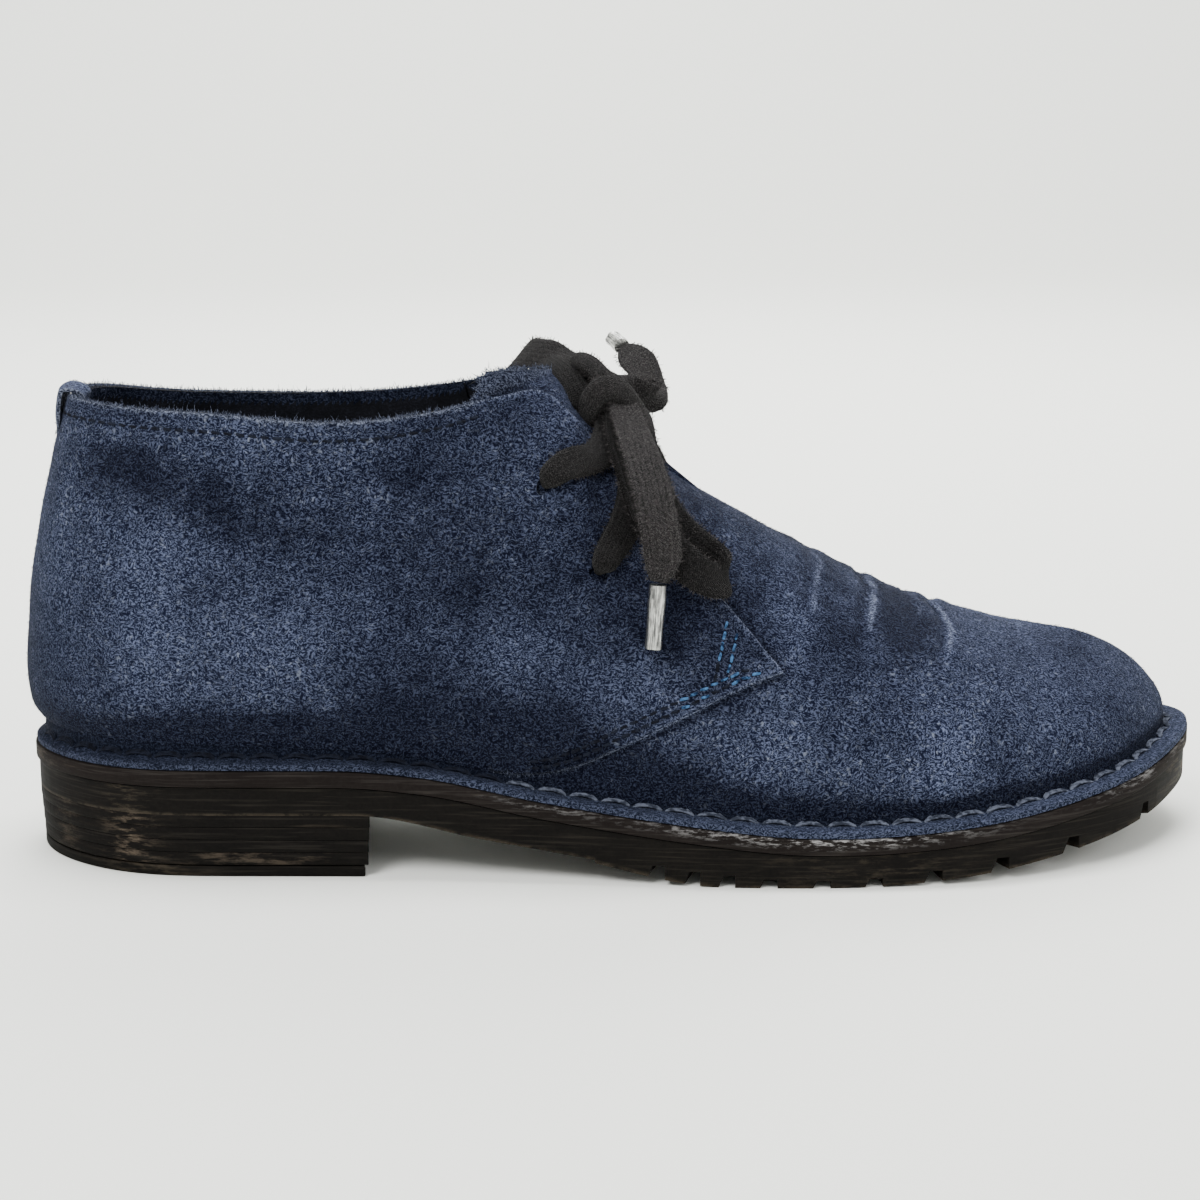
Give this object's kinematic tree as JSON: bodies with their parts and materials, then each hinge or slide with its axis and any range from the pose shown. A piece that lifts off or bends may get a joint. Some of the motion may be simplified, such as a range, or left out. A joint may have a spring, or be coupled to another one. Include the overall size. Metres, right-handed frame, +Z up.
{
  "type": "ankle boot",
  "caption": "Low suede chukka ankle boot for the right foot, laced over a tongue, with a stitched-down rubber lug sole and a stacked heel.",
  "frame": {"origin": "on the floor, under the middle of the sole's bounding box", "axes": "+X towards the toe, +Y towards the medial (big toe) side, +Z up"},
  "size_m": [0.3032, 0.1022, 0.1275],
  "materials": {
    "suede": "napped suede, matt",
    "suede_tongue": "napped suede, matt",
    "suede_tab": "napped suede, matt",
    "insole": "matt lining",
    "midsole": "stained edge, worn",
    "outsole": "matt moulded rubber",
    "heel_stack": "stained stacked layers, worn",
    "top_lift": "matt moulded rubber",
    "lace": "flat woven cotton",
    "aglet": "crimped plated metal"
  },
  "bodies": {
    "root": {"upper": "suede", "tongue": "suede_tongue", "back_tab": "suede_tab", "insole": "insole", "midsole": "midsole", "outsole": "outsole", "heel_stack": "heel_stack", "top_lift": "top_lift", "lace_bars": "lace", "lace_low_bar": "lace", "lace_knot": "lace", "lace_loop_near": "lace", "lace_loop_far": "lace", "lace_end_near": "lace", "lace_end_far": "lace", "aglet_near": "aglet", "aglet_far": "aglet"}
  },
  "joints": []
}
